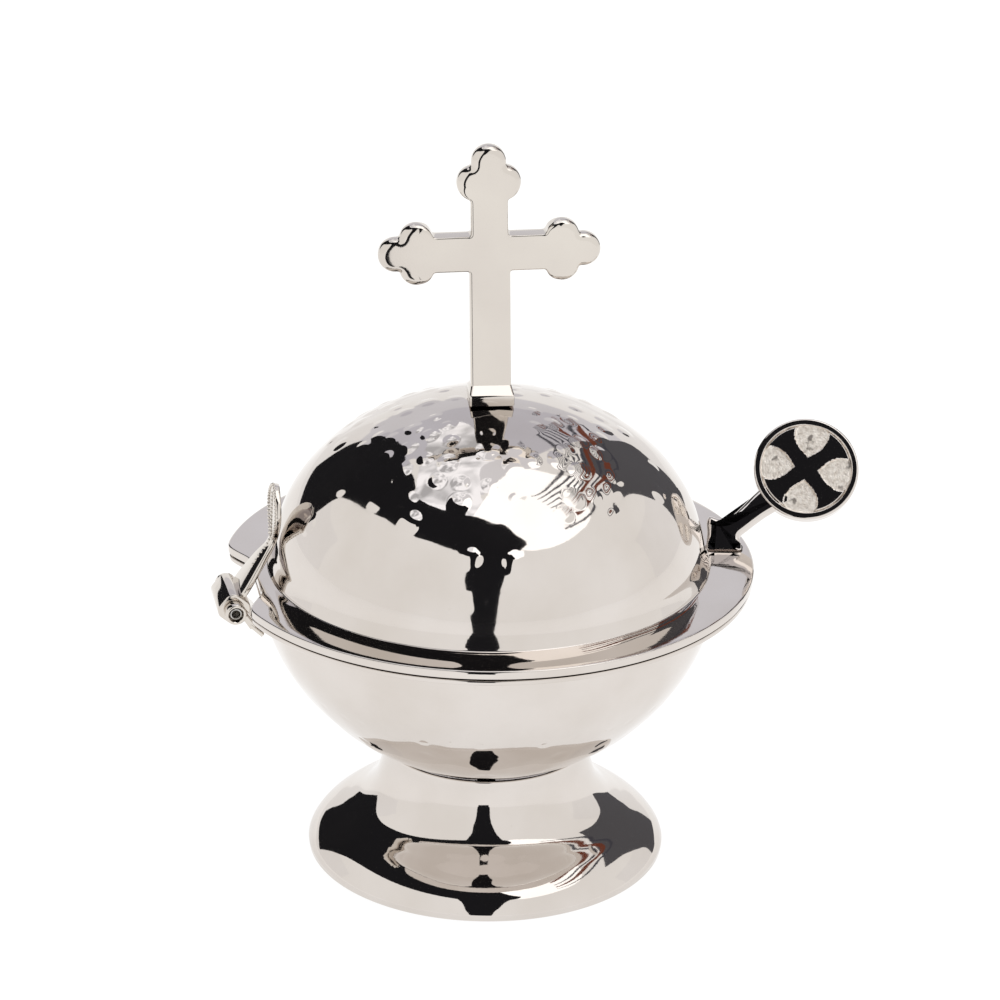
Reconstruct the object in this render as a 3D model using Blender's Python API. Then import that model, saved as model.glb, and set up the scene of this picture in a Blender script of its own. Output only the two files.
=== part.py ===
"""Table censer: a footed bowl, a hinged domed lid with a budded cross, a thumb lifter and a charcoal cup.

Everything is built about the upright body axis. The body axis stands AXIS_X from the origin, so that the
origin is the middle of the whole object's footprint, on the surface it stands on.
"""

import math

import bmesh
import bpy
from mathutils import Matrix, Vector

MM = 0.001
GAP = 0.3 * MM  # between pieces that touch
ROUND = 48  # sides of a large round piece
SMALL_ROUND = 24  # sides of a pin, screw or knuckle
SHARP = math.radians(35)  # edges sharper than this stay sharp

# The body axis. The lifter reaches further out than the hinge does.
AXIS_X = -10.58 * MM

# Bowl: its outside is r = R cos(a)^p, z = rim - depth sin(a)^p.
BOWL_R = 49.8 * MM
BOWL_RIM_Z = 64.3 * MM
BOWL_DEPTH = 44.3 * MM
BOWL_POWER = 1.075
BOWL_WALL = 1.2 * MM
BOWL_FLANGE_R = 57.2 * MM
BOWL_FLANGE_Z = (64.6 * MM, 65.65 * MM)
BOWL_FLANGE_EDGE = 0.3 * MM

# Lid: half an ellipsoid on a flat flange.
DOME_R = 47.0 * MM
DOME_HEIGHT = 37.0 * MM
DOME_WALL = 1.1 * MM
LID_FLANGE_R = 57.5 * MM
LID_FLANGE_Z = (66.0 * MM, 67.9 * MM)
LID_FLANGE_EDGE = 0.5 * MM
DOME_FILLET = 1.3 * MM
DOME_TOP_Z = LID_FLANGE_Z[1] + DOME_HEIGHT

# Foot: a spun skirt and neck, with a dished seat under the bowl.
FOOT_BASE_R = 38.6 * MM
FOOT_BASE_WIDTH = 1.7 * MM
FOOT_WALL = 1.3 * MM
NECK_R = 22.9 * MM
NECK_DROP = 0.4 * MM  # of the neck's rounded top edge
SEAT_EDGE = 0.5 * MM  # the seat starts this far inside the neck
SEAT_GAP = 1.4 * GAP  # measured straight down, on the slope of the bowl
FOOT_OUTLINE = [  # radius and height of the outside, from the neck down
    (22.9, 22.0),
    (23.4, 19.0),
    (24.7, 15.4),
    (27.2, 12.1),
    (30.5, 9.6),
    (34.0, 7.4),
    (36.8, 5.2),
    (38.5, 3.2),
    (39.25, 1.7),
    (39.25, 0.8),
]

# Fasteners, all M4.
SHANK_R = 1.9 * MM
CLEAR_HOLE_R = 2.2 * MM
WASHER_R = 4.5 * MM
WASHER_T = 0.9 * MM
NUT_R = 4.0 * MM
NUT_T = 3.0 * MM
SCREW_HEAD_R = 4.0 * MM
SCREW_HEAD_T = 2.2 * MM
HEAD_SIDE_T = 0.9 * MM  # the upright part of the screw's head
HEAD_DOME = (2.9 * MM, 1.87 * MM)  # radius and height where the head's dome turns flat
SHANK_CHAMFER = 0.4 * MM

# Hinge: u is the distance out from the body axis, v runs along the pin towards the front.
HINGE_TURN = math.radians(11.5)  # the hinge stands this far forward of the left side
OUT = Vector((-math.cos(HINGE_TURN), -math.sin(HINGE_TURN), 0))
ALONG = Vector((math.sin(HINGE_TURN), -math.cos(HINGE_TURN), 0))
UP = Vector((0, 0, 1))
PIN_U = 56.4 * MM
PIN_Z = 62.8 * MM
PIN_R = 1.3 * MM
PIN_HALF = 8.4 * MM
BORE_R = PIN_R + GAP
EAR_R = 2.3 * MM
EAR_V = (6.4 * MM, 8.9 * MM)
KNUCKLE_R = 3.5 * MM
KNUCKLE_HALF = 6.0 * MM
LEAF_T = 0.9 * MM
LEAF_ENDS = [(50.75, 57.6), (53.4, 60.2)]  # distance out and height, at the bowl's wall and inside the pin
EAR_ARM = [(52.9, 59.1), (52.15, 59.9), (54.45, 62.57), (56.63, 60.84)]  # from the leaf to the ear
NOTCH_FLOOR_U = 50.8 * MM
NOTCH_FLOOR_HALF = 9.2 * MM
NOTCH_MOUTH_U = 58.5 * MM
NOTCH_MOUTH_HALF = 22.0 * MM
NOTCH_CORNER_R = 1.6 * MM

# Lid strap: distance out, height and half width of its middle line. It runs from the knuckle over the
# flange and ends in an upright leaf beside the dome.
STRAP_T = 1.3 * MM
STRAP_STATIONS = [
    (55.0, 64.4, 5.0),
    (53.2, 67.0, 5.0),
    (50.2, 71.4, 3.6),
    (47.9, 74.6, 2.1),
    (47.0, 76.8, 2.1),
    (46.8, 79.0, 3.7),
    (46.7, 81.4, 5.2),
    (46.6, 83.6, 5.4),
    (46.5, 85.8, 4.4),
    (46.4, 87.6, 2.6),
    (46.3, 88.7, 1.0),
]

# Cross: a plate with a budded end on three arms, about its own centre.
CROSS_Z = 138.6 * MM
CROSS_T = 4.2 * MM
ARM_HALF = 3.9 * MM
POST_HALF = 4.3 * MM
CROSS_TURN = math.radians(5)  # its face looks this far to the lifter's side of the front
CROSS_LEAN = math.radians(1.1)  # it was set on leaning a little to the hinge's side
END_BUD = (19.8 * MM, 3.7 * MM)  # how far out the middle bud stands, and its radius
SIDE_BUD = (15.4 * MM, 3.2 * MM, 3.6 * MM)  # distance along the arm, distance across it, radius
BUD_STEPS = 9
CROSS_FOOT = [(4.8, 4.3, 105.2), (4.8, 4.3, 107.3), (4.25, 2.0, 109.1)]  # half width, half depth, height
POST_SINK = 1.0 * MM  # the post reaches this far into its foot block
STUD_R = SHANK_R - 0.4 * MM
STUD_LENGTH = 8.5 * MM
STUD_CHAMFER = 0.3 * MM
SOCKET_DEPTH = 5.5 * MM
SOCKET_CHAMFER = 0.2 * MM

# Lifter: a leaning plate on the lid's flange, opposite the hinge, that ends in a medallion.
LIFTER_FOOT = Vector((51.2 * MM, 7.5 * MM, LID_FLANGE_Z[1] + GAP))
LIFTER_TURN = math.radians(-1)
LIFTER_LEAN = math.radians(38.6)
LIFTER_T = 3.2 * MM
MEDALLION_AT = (18.05 * MM, 17.7 * MM)
MEDALLION_R = 11.6 * MM
MEDALLION_STEPS = 30
LIFTER_LOWER = [(4.3, 0), (3.7, 1.0), (3.6, 2.3), (5.4, 3.8), (7.6, 5.6), (9.9, 7.3)]
LIFTER_UPPER = [
    (6.3, 11.7),
    (4.5, 9.5),
    (2.0, 7.1),
    (0, 6.1),
    (-1.5, 6.2),
    (-3.1, 6.8),
    (-3.7, 5.4),
    (-3.5, 3.0),
    (-4.0, 0),
]

# Charcoal cup: stands loose in the bowl.
CUP_OUTLINE = [(14.6, 24.6), (20.0, 27.0), (27.0, 33.5), (31.5, 41.5), (33.4, 50.0)]
CUP_WALL = 1.0 * MM
CUP_LIP = 2.2 * MM

NICKEL = ("nickel_plate", (0.86, 0.84, 0.82, 1), 0.05, 1.0)
STEEL = ("steel_fastener", (0.62, 0.62, 0.63, 1), 0.3, 1.0)
BRASS = ("brass_cup", (0.78, 0.58, 0.28, 1), 0.3, 1.0)


def material(name, colour, roughness, metallic):
    made = bpy.data.materials.get(name) or bpy.data.materials.new(name)
    made.use_nodes = True
    shader = made.node_tree.nodes["Principled BSDF"]
    shader.inputs["Base Color"].default_value = colour
    shader.inputs["Roughness"].default_value = roughness
    shader.inputs["Metallic"].default_value = metallic
    return made


def empty(name, place, parent=None):
    """A frame for the pieces of one body, at `place` from the body axis."""
    made = bpy.data.objects.new(name, None)
    bpy.context.scene.collection.objects.link(made)
    made.parent = parent
    made.location = place
    return made


def finish(bm, name, parent=None, finish_of=NICKEL, origin=Vector((0, 0, 0)), smooth=True):
    """An object from a bmesh that was drawn about the body axis, with its own origin at `origin`."""
    bmesh.ops.recalc_face_normals(bm, faces=bm.faces)
    mesh = bpy.data.meshes.new(name)
    bm.to_mesh(mesh)
    bm.free()
    mesh.transform(Matrix.Translation(-origin))
    if smooth:
        mesh.shade_smooth()
        mesh.set_sharp_from_angle(angle=SHARP)
    made = bpy.data.objects.new(name, mesh)
    bpy.context.scene.collection.objects.link(made)
    made.parent = parent
    mesh.materials.append(material(*finish_of))
    return made


def helper(bm, name, parent, origin=Vector((0, 0, 0))):
    """A cutter, or a shape to be joined to another, that is not itself a piece."""
    made = finish(bm, name, parent, origin=origin, smooth=False)
    made.hide_render = True
    made.display_type = "WIRE"
    return made


def boolean(target, other, operation):
    modifier = target.modifiers.new(operation.lower() + "_" + other.name, "BOOLEAN")
    modifier.operation = operation
    modifier.object = other


def turned(profile, sides=ROUND):
    """A solid turned from a closed (radius, height) outline; a point at radius 0 becomes a pole."""
    bm = bmesh.new()
    rings = []
    for radius, height in profile:
        if radius < 1e-7:
            rings.append([bm.verts.new((0, 0, height))] * sides)
            continue
        angles = [2 * math.pi * k / sides for k in range(sides)]
        rings.append([bm.verts.new((radius * math.cos(a), radius * math.sin(a), height)) for a in angles])
    for low, high in zip(rings, rings[1:] + rings[:1]):
        for k in range(sides):
            corners = [low[k], low[(k + 1) % sides], high[(k + 1) % sides], high[k]]
            corners = list(dict.fromkeys(corners))
            if len(corners) > 2:
                bm.faces.new(corners)
    return bm


def plate(outline, place, across, upward, thick):
    """A flat plate: outline points (a, b) lie at place + a across + b upward, and it is `thick` thick."""
    normal = across.cross(upward).normalized()
    bm = bmesh.new()
    sides = [[], []]
    for a, b in outline:
        middle = place + across * a + upward * b
        sides[0].append(bm.verts.new(middle - normal * thick / 2))
        sides[1].append(bm.verts.new(middle + normal * thick / 2))
    bm.faces.new(sides[0])
    bm.faces.new(sides[1])
    for k in range(len(outline)):
        after = (k + 1) % len(outline)
        bm.faces.new([sides[0][k], sides[0][after], sides[1][after], sides[1][k]])
    return bm


def millimetres(points):
    return [(a * MM, b * MM) for a, b in points]


def offset(points, distance):
    """The open outline moved sideways, to the right of its direction."""
    moved = []
    for k, (r, z) in enumerate(points):
        before = points[max(k - 1, 0)]
        after = points[min(k + 1, len(points) - 1)]
        along = Vector((after[0] - before[0], after[1] - before[1])).normalized() * distance
        moved.append((r + along.y, z - along.x))
    return moved


def arc(centre, radius, start, end, steps):
    """Points on a circle, from one angle to another, both ends included."""
    angles = [start + (end - start) * k / (steps - 1) for k in range(steps)]
    return [(centre[0] + radius * math.cos(a), centre[1] + radius * math.sin(a)) for a in angles]


def hinge_point(u, v, z):
    return OUT * u + ALONG * v + UP * z


def bowl_curve(first_r, last_r, steps):
    """(radius, height) down the outside of the bowl, between two radii."""
    first, last = (math.acos((r / BOWL_R) ** (1 / BOWL_POWER)) for r in (first_r, last_r))
    points = []
    for k in range(steps):
        a = first + (last - first) * k / (steps - 1)
        radius = BOWL_R * math.cos(a) ** BOWL_POWER
        points.append((radius, BOWL_RIM_Z - BOWL_DEPTH * math.sin(a) ** BOWL_POWER))
    return points


def dome_curve(radius, height, first_z, last_r, steps):
    """(radius, height) up an ellipse over the flange, from a height to a radius."""
    first = math.asin((first_z - LID_FLANGE_Z[1]) / height)
    last = math.acos(last_r / radius)
    angles = [first + (last - first) * k / (steps - 1) for k in range(steps)]
    return [(radius * math.cos(a), LID_FLANGE_Z[1] + height * math.sin(a)) for a in angles]


def notch(name, parent, low, high, origin=Vector((0, 0, 0))):
    """The cutter of the flange's notch for the hinge, between two heights."""
    slope = math.atan2(NOTCH_MOUTH_U - NOTCH_FLOOR_U, NOTCH_MOUTH_HALF - NOTCH_FLOOR_HALF)
    centre = (NOTCH_FLOOR_U + NOTCH_CORNER_R, NOTCH_FLOOR_HALF - NOTCH_CORNER_R * math.tan(slope / 2))
    corner = arc(centre, NOTCH_CORNER_R, math.pi, math.pi - (math.pi / 2 - slope), 4)
    half = corner + [(NOTCH_MOUTH_U, NOTCH_MOUTH_HALF)]
    outline = [(u, -v) for u, v in reversed(half)] + half
    return helper(plate(outline, UP * (low + high) / 2, OUT, ALONG, high - low), name, parent, origin)


def make_foot(stand):
    outside = millimetres(FOOT_OUTLINE)
    seat = [(r, z - SEAT_GAP) for r, z in reversed(bowl_curve(NECK_R - SEAT_EDGE, CLEAR_HOLE_R, 6))]
    skin = [(NECK_R, seat[-1][1] - NECK_DROP)] + outside
    inside = offset(skin[1:], FOOT_WALL)
    under = [(r, z - FOOT_WALL) for r, z in seat if r < NECK_R - 2.2 * FOOT_WALL]
    base = [(FOOT_BASE_R, 0), (FOOT_BASE_R - FOOT_BASE_WIDTH, 0)]
    profile = seat + skin + base + list(reversed(inside[:-1])) + list(reversed(under))
    return finish(turned(profile), "foot", stand)


def make_bowl(stand):
    outside = bowl_curve(BOWL_R - 0.01 * MM, CLEAR_HOLE_R, 12)
    inside = offset(outside, BOWL_WALL)
    low, high = BOWL_FLANGE_Z
    edge = BOWL_FLANGE_EDGE
    flange = [
        (BOWL_FLANGE_R - edge, low),
        (BOWL_FLANGE_R, low + edge),
        (BOWL_FLANGE_R, high - edge),
        (BOWL_FLANGE_R - edge, high),
        (BOWL_R - BOWL_WALL, high),
    ]
    inside[-1] = (CLEAR_HOLE_R, inside[-1][1])
    profile = list(reversed(outside)) + [(BOWL_R + 0.6 * MM, low)] + flange + inside
    bowl = finish(turned(profile), "bowl", stand)
    boolean(bowl, notch("bowl_notch_cutter", stand, low - MM, high + MM), "DIFFERENCE")
    return bowl


def make_lid(hinge, origin):
    low, high = LID_FLANGE_Z
    foot_of_dome = high + DOME_FILLET
    dome = dome_curve(DOME_R, DOME_HEIGHT, foot_of_dome, CLEAR_HOLE_R, 11)
    inner_foot = high + DOME_FILLET / 2
    inner = dome_curve(DOME_R - DOME_WALL, DOME_HEIGHT - DOME_WALL, inner_foot, CLEAR_HOLE_R, 9)
    fillet = arc((DOME_R + DOME_FILLET, foot_of_dome), DOME_FILLET, 1.5 * math.pi, math.pi, 4)[:-1]
    edge = LID_FLANGE_EDGE
    flange = [
        (DOME_R - DOME_WALL, low),
        (LID_FLANGE_R - edge, low),
        (LID_FLANGE_R, low + edge / 2),
        (LID_FLANGE_R, high - edge),
        (LID_FLANGE_R - edge, high),
    ]
    lid = finish(turned(flange + fillet + dome + list(reversed(inner))), "lid", hinge, origin=origin)
    boolean(lid, notch("lid_notch_cutter", hinge, low - MM, high + MM, origin), "DIFFERENCE")
    return lid


def round_bar(radius, low, high, chamfer, sides=SMALL_ROUND):
    """An upright bar with chamfered ends."""
    profile = [
        (0, low),
        (radius - chamfer, low),
        (radius, low + chamfer),
        (radius, high - chamfer),
        (radius - chamfer, high),
        (0, high),
    ]
    return turned(profile, sides)


def make_washer(name, parent, low, origin=Vector((0, 0, 0))):
    high = low + WASHER_T
    profile = [(CLEAR_HOLE_R, low), (WASHER_R, low), (WASHER_R, high), (CLEAR_HOLE_R, high)]
    return finish(turned(profile, SMALL_ROUND), name, parent, STEEL, origin)


def make_nut(name, parent, low, origin=Vector((0, 0, 0))):
    """A hexagon nut: six flats outside, a round hole inside."""
    bm = bmesh.new()
    levels = []
    for z in (low, low + NUT_T):
        angles = [2 * math.pi * k / SMALL_ROUND for k in range(SMALL_ROUND)]
        flat = NUT_R * math.cos(math.pi / 6)
        outer = []
        for a in angles:
            reach = flat / math.cos((a + math.pi / 6) % (math.pi / 3) - math.pi / 6)
            outer.append(bm.verts.new((reach * math.cos(a), reach * math.sin(a), z)))
        inner = [bm.verts.new((CLEAR_HOLE_R * math.cos(a), CLEAR_HOLE_R * math.sin(a), z)) for a in angles]
        levels.append((outer, inner))
    (low_outer, low_inner), (high_outer, high_inner) = levels
    for k in range(SMALL_ROUND):
        after = (k + 1) % SMALL_ROUND
        bm.faces.new([low_outer[k], low_outer[after], high_outer[after], high_outer[k]])
        bm.faces.new([low_inner[k], high_inner[k], high_inner[after], low_inner[after]])
        bm.faces.new([low_outer[k], low_inner[k], low_inner[after], low_outer[after]])
        bm.faces.new([high_outer[k], high_outer[after], high_inner[after], high_inner[k]])
    return finish(bm, name, parent, STEEL, origin, smooth=False)


def make_foot_fasteners(stand):
    bowl_bottom = BOWL_RIM_Z - BOWL_DEPTH
    head = bowl_bottom + BOWL_WALL + 1.5 * GAP
    washer_top = bowl_bottom - SEAT_GAP - FOOT_WALL - GAP
    nut_top = washer_top - WASHER_T - GAP
    tip = nut_top - NUT_T - 2.0 * MM
    profile = [
        (0, tip),
        (SHANK_R - SHANK_CHAMFER, tip),
        (SHANK_R, tip + SHANK_CHAMFER),
        (SHANK_R, head),
        (SCREW_HEAD_R, head),
        (SCREW_HEAD_R, head + HEAD_SIDE_T),
        (HEAD_DOME[0], head + HEAD_DOME[1]),
        (0, head + SCREW_HEAD_T),
    ]
    finish(turned(profile, SMALL_ROUND), "foot_screw", stand, STEEL)
    make_washer("foot_washer", stand, washer_top - WASHER_T)
    make_nut("foot_nut", stand, nut_top - NUT_T)


def make_cup(lift):
    """A turned cup with a floor and a lip that turns out."""
    outside = [(0, CUP_OUTLINE[0][1] * MM)] + millimetres(CUP_OUTLINE)
    top_r, top_z = outside[-1]
    lip_r, lip_z = top_r + CUP_LIP, top_z + CUP_WALL
    lip = [(lip_r, top_z), (lip_r, lip_z), (top_r - CUP_WALL, lip_z)]
    inside = offset(outside[1:-1], -CUP_WALL)
    floor = [(0, outside[0][1] + CUP_WALL)]
    profile = outside + lip + list(reversed(inside)) + floor
    return finish(turned(profile), "charcoal_cup", lift, BRASS)


def hinge_bar(radius, v_low, v_high, sides=SMALL_ROUND):
    """A round bar along the pin's axis."""
    centre = hinge_point(PIN_U, (v_low + v_high) / 2, PIN_Z)
    circle = arc((0, 0), radius, 0, 2 * math.pi * (1 - 1 / sides), sides)
    return plate(circle, centre, OUT, UP, v_high - v_low)


def make_hinge_leaf(stand):
    """The plate under the flange that carries the pin in two ears, fixed to the bowl's wall."""
    wall_end, inner_end = (Vector(end) for end in millimetres(LEAF_ENDS))
    rise = (inner_end - wall_end).normalized()
    side = Vector((-rise.y, rise.x)) * LEAF_T / 2
    strip = [wall_end + side, inner_end + side, inner_end - side, wall_end - side]
    leaf = finish(plate(strip, Vector((0, 0, 0)), OUT, UP, 2 * EAR_V[1]), "hinge_leaf", stand)
    middle_v = (EAR_V[0] + EAR_V[1]) / 2
    for name, sign in (("front", 1), ("back", -1)):
        ear = helper(hinge_bar(EAR_R, *sorted((sign * EAR_V[0], sign * EAR_V[1]))), name + "_ear", stand)
        arm_bm = plate(millimetres(EAR_ARM), ALONG * middle_v * sign, OUT, UP, EAR_V[1] - EAR_V[0])
        arm = helper(arm_bm, name + "_ear_arm", stand)
        boolean(leaf, arm, "UNION")
        boolean(leaf, ear, "UNION")
    bore = helper(hinge_bar(BORE_R, -2 * EAR_V[1], 2 * EAR_V[1]), "leaf_bore_cutter", stand)
    boolean(leaf, bore, "DIFFERENCE")
    return leaf


def loft(loops):
    """A solid from rings of four corners, one above the other."""
    bm = bmesh.new()
    rings = [[bm.verts.new(corner) for corner in loop] for loop in loops]
    for low, high in zip(rings, rings[1:]):
        for k in range(4):
            after = (k + 1) % 4
            bm.faces.new([low[k], low[after], high[after], high[k]])
    bm.faces.new(rings[0])
    bm.faces.new(rings[-1])
    bmesh.ops.triangulate(bm, faces=bm.faces)
    return bm


def make_strap(hinge, origin):
    """The knuckle on the pin, and the band that runs over the flange and ends in an upright leaf."""
    strap = finish(hinge_bar(KNUCKLE_R, -KNUCKLE_HALF, KNUCKLE_HALF), "hinge_strap", hinge, origin=origin)
    line = [(u * MM, z * MM) for u, z, _ in STRAP_STATIONS]
    loops = []
    for front, back, station in zip(offset(line, STRAP_T / 2), offset(line, -STRAP_T / 2), STRAP_STATIONS):
        half = station[2] * MM
        corners = [(front, half), (front, -half), (back, -half), (back, half)]
        loops.append([hinge_point(u, v, z) for (u, z), v in corners])
    boolean(strap, helper(loft(loops), "strap_band", hinge, origin), "UNION")
    bore = hinge_bar(BORE_R, -2 * KNUCKLE_HALF, 2 * KNUCKLE_HALF)
    boolean(strap, helper(bore, "strap_bore_cutter", hinge, origin), "DIFFERENCE")
    return strap


def budded_end(turn):
    """The outline of one arm, anticlockwise, for an arm along `turn`: three buds at its end."""
    end_at, end_r = END_BUD
    side_at, side_across, side_r = SIDE_BUD
    # The side bud leaves the arm where its circle crosses the arm's edge, and meets the end bud's circle.
    leave = math.asin((ARM_HALF - side_across) / side_r)
    apart = math.hypot(end_at - side_at, side_across)
    towards = math.atan2(side_across, side_at - end_at)
    reach = (apart**2 + end_r**2 - side_r**2) / (2 * apart)
    on_end = towards - math.acos(reach / end_r)
    meeting = (end_at + end_r * math.cos(on_end), end_r * math.sin(on_end))
    on_side = math.atan2(meeting[1] - side_across, meeting[0] - side_at)
    upper = arc((end_at, 0), end_r, 0, on_end, BUD_STEPS)
    upper += arc((side_at, side_across), side_r, on_side, math.pi - leave, BUD_STEPS)[1:]
    points = [(x, -y) for x, y in reversed(upper[1:])] + upper
    c, s = math.cos(turn), math.sin(turn)
    return [(x * c - y * s, x * s + y * c) for x, y in points]


def make_cross(hinge, origin):
    """The budded plate on its chamfered foot block, and the stud, washer and nut that hold it."""
    foot = CROSS_FOOT[0][2] * MM
    neck = CROSS_FOOT[-1][2] * MM - POST_SINK
    turn = Matrix.Rotation(CROSS_TURN, 3, "Z") @ Matrix.Rotation(-CROSS_LEAN, 3, "Y")
    across, upward = turn @ Vector((1, 0, 0)), turn @ UP
    right, top, left = (budded_end(angle) for angle in (0, math.pi / 2, math.pi))
    inner = [(ARM_HALF, ARM_HALF), (-ARM_HALF, ARM_HALF)]
    low = neck - CROSS_Z
    low_corners = [(-POST_HALF, -ARM_HALF), (-POST_HALF, low), (POST_HALF, low), (POST_HALF, -ARM_HALF)]
    outline = right + inner[:1] + top + inner[1:] + left + low_corners
    place = UP * foot + upward * (CROSS_Z - foot)
    cross = finish(plate(outline, place, across, upward, CROSS_T), "cross", hinge, origin=origin)
    loops = []
    for half_width, half_depth, height in CROSS_FOOT:
        corners = ((1, 1), (-1, 1), (-1, -1), (1, -1))
        flat = Matrix.Rotation(CROSS_TURN, 3, "Z")
        loops.append([flat @ Vector((a * half_width, b * half_depth, height)) * MM for a, b in corners])
    boolean(cross, helper(loft(loops), "cross_foot", hinge, origin), "UNION")
    socket_top = DOME_TOP_Z + GAP + SOCKET_DEPTH
    socket = round_bar(STUD_R + GAP, DOME_TOP_Z - MM, socket_top, SOCKET_CHAMFER)
    boolean(cross, helper(socket, "stud_socket_cutter", hinge, origin), "DIFFERENCE")
    stud = round_bar(STUD_R, DOME_TOP_Z - STUD_LENGTH, socket_top - GAP, STUD_CHAMFER)
    finish(stud, "cross_stud", hinge, STEEL, origin)
    washer_low = DOME_TOP_Z - DOME_WALL - 2 * GAP - WASHER_T
    make_washer("cross_washer", hinge, washer_low, origin)
    make_nut("cross_nut", hinge, washer_low - GAP - NUT_T, origin)
    return cross


def make_lifter(hinge, origin):
    across = Vector((math.cos(LIFTER_TURN), math.sin(LIFTER_TURN), 0))
    back = Vector((-math.sin(LIFTER_TURN), math.cos(LIFTER_TURN), 0))
    upward = UP * math.cos(LIFTER_LEAN) + back * math.sin(LIFTER_LEAN)
    lower, upper = millimetres(LIFTER_LOWER), millimetres(LIFTER_UPPER)
    to_lower, to_upper = Vector(lower[-1]) - Vector(MEDALLION_AT), Vector(upper[0]) - Vector(MEDALLION_AT)
    start, end = math.atan2(to_lower.y, to_lower.x), math.atan2(to_upper.y, to_upper.x)
    step = 2 * math.pi / MEDALLION_STEPS / 2
    disc = arc(MEDALLION_AT, MEDALLION_R, start + step, end % (2 * math.pi) - step, MEDALLION_STEPS)
    bm = plate(lower + disc + upper, LIFTER_FOOT, across, upward, LIFTER_T)
    for vert in bm.verts:  # the foot stands level on the flange
        rise = (LIFTER_FOOT.z - vert.co.z) / upward.z
        if abs(rise) < LIFTER_T:
            vert.co += upward * rise
    return finish(bm, "lifter", hinge, origin=origin)


def main():
    for old in list(bpy.data.objects):
        bpy.data.objects.remove(old, do_unlink=True)
    stand = empty("body_axis", (AXIS_X, 0, 0))
    pin_centre = hinge_point(PIN_U, 0, PIN_Z)
    hinge = empty("lid_hinge_axis", pin_centre, stand)
    lift = empty("cup_lift_axis", (0, 0, 0), stand)
    make_foot(stand)
    make_bowl(stand)
    make_foot_fasteners(stand)
    make_hinge_leaf(stand)
    finish(hinge_bar(PIN_R, -PIN_HALF, PIN_HALF), "hinge_pin", stand, STEEL)
    make_cup(lift)
    make_lid(hinge, pin_centre)
    make_strap(hinge, pin_centre)
    make_cross(hinge, pin_centre)
    make_lifter(hinge, pin_centre)


main()
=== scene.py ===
"""Looks of the table censer: hammered nickel shells, cast cross and lifter, hinge, fasteners, studio."""

from math import acos, asin, atan2, cos, hypot, pi, radians, sin, sqrt, tan

import bpy
import numpy as np
from mathutils import Matrix, Vector


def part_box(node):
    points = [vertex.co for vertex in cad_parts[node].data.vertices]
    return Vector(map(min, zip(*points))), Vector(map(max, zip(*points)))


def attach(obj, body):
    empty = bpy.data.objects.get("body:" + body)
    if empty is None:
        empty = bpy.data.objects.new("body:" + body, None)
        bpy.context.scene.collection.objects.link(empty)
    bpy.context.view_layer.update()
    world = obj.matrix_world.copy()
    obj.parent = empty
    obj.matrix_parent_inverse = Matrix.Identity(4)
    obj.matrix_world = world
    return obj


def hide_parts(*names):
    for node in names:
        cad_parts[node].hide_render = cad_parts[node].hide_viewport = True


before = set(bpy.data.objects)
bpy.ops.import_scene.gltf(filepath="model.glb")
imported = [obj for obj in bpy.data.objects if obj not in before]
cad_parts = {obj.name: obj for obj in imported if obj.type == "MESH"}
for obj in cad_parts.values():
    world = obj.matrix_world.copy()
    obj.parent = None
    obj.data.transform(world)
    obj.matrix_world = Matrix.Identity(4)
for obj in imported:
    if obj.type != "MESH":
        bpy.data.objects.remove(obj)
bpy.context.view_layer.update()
scene = bpy.context.scene

MM = 0.001
GAP = 0.3 * MM

FOOT_LOW, FOOT_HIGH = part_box("foot")
BOWL_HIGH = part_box("bowl")[1]
LID_LOW, LID_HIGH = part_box("lid")
CUP_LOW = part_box("charcoal_cup")[0]

AXIS = Vector(((FOOT_LOW.x + FOOT_HIGH.x) / 2, 0, 0))
UP = Vector((0, 0, 1))

# Shells, all about the body axis.
BOWL_R = 49.8 * MM
BOWL_RIM_Z = 64.3 * MM
BOWL_DEPTH = 44.3 * MM
BOWL_POWER = 1.075
BOWL_WALL = 1.2 * MM
BOWL_FLANGE_R = BOWL_HIGH.y
BOWL_FLANGE_T = 1.05 * MM
BOWL_FLANGE_EDGE = 0.3 * MM
BOWL_ROOT = 0.45 * MM  # the fillet under the flange
BOWL_TUCK = 0.02 * MM
DOME_R = 47.0 * MM
DOME_HEIGHT = 37.0 * MM
DOME_WALL = 1.1 * MM
DOME_FILLET = 0.35 * MM
SKIRT_RISE = 3.4 * MM  # the dome's lowest part leans out a little more than the ellipse does
SKIRT_LEAN = 0.29
LID_FLANGE_R = LID_HIGH.y
LID_FLANGE_T = 1.9 * MM
LID_FLANGE_TOP = LID_LOW.z + LID_FLANGE_T
LID_FLANGE_EDGE = 0.4 * MM
FLANGE_STEPS = 6
HOLE_R = 2.2 * MM
NECK_R = 22.9 * MM
FOOT_WALL = 1.3 * MM
FOOT_BASE_R = 38.6 * MM
FOOT_BASE_WIDTH = 1.7 * MM
BASE_ROUND = 0.6 * MM
LIP_ROUND = 0.3 * MM  # at the neck's upper edge
SEAT_GAP = 1.4 * GAP
RIPPLE_PITCH = 0.75 * MM  # faint spinning rings on the neck
RIPPLE_HEIGHT = 0.0012 * MM
FOOT_OUTLINE = [  # radius and height of the outside in mm, from the neck down
    (22.9, 22.0), (23.4, 19.0), (24.7, 15.4), (27.2, 12.1), (30.5, 9.6), (34.0, 7.4), (36.8, 5.2),
    (38.5, 3.2), (39.25, 1.7), (39.25, 0.8),
]
CUP_OUTLINE = [(14.6, 24.6), (20.0, 27.0), (27.0, 33.5), (31.5, 41.5), (33.4, 50.0)]
CUP_WALL = 1.0 * MM
CUP_LIP = 2.2 * MM
CUP_RING_PITCH = 1.1 * MM
CUP_RING_HEIGHT = 0.03 * MM

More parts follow.
